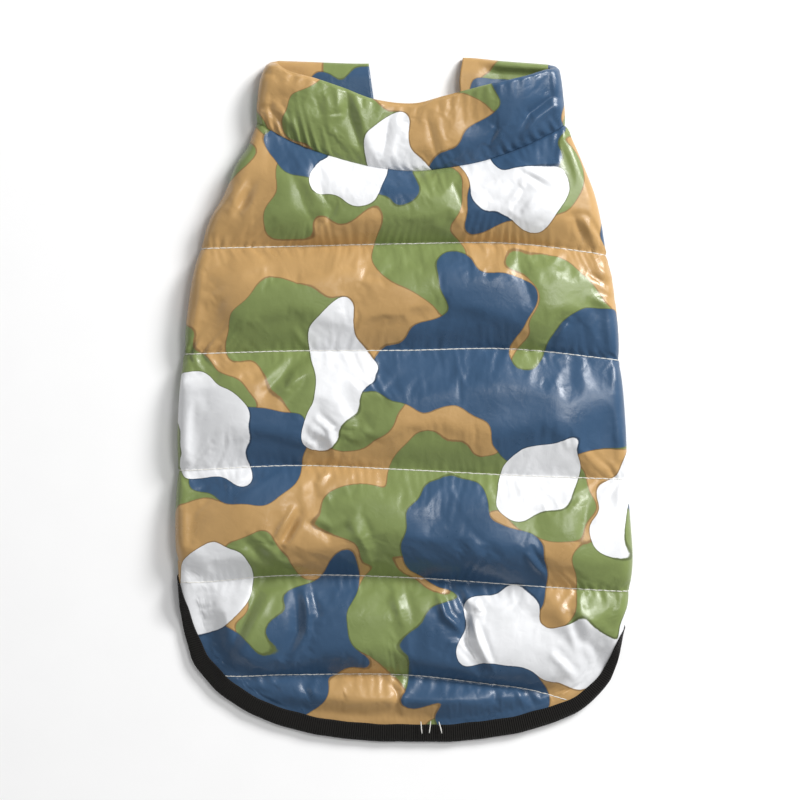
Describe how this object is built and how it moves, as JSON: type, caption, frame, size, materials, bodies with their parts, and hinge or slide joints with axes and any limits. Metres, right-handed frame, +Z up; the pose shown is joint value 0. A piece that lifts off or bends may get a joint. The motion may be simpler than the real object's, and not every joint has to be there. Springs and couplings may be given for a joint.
{
  "type": "dog winter coat, quilted vest laid flat",
  "caption": "Quilted sleeveless winter coat for a small dog, lying flat with its back up: collar, rounded tail with dark binding, leg openings underneath.",
  "frame": {"origin": "middle of the garment's bounding box, on the surface that it lies on", "axes": "+Y along the length towards the neck, +Z up out of the quilted back, +X to the right as seen from above"},
  "size_m": [0.2556, 0.3848, 0.0216],
  "materials": {
    "printed_shell": "semi-gloss printed nylon taffeta over padding",
    "ribbed_tape": "matt ribbed binding",
    "closure_nylon": "matt hook-and-loop tape"
  },
  "bodies": {
    "root": {"back_panel": "printed_shell", "left_front": "printed_shell", "right_front": "printed_shell", "collar": "printed_shell", "tail_binding": "ribbed_tape", "left_belly_binding": "ribbed_tape", "right_belly_binding": "ribbed_tape", "hook_strip": "closure_nylon", "loop_strip": "closure_nylon"}
  },
  "joints": []
}
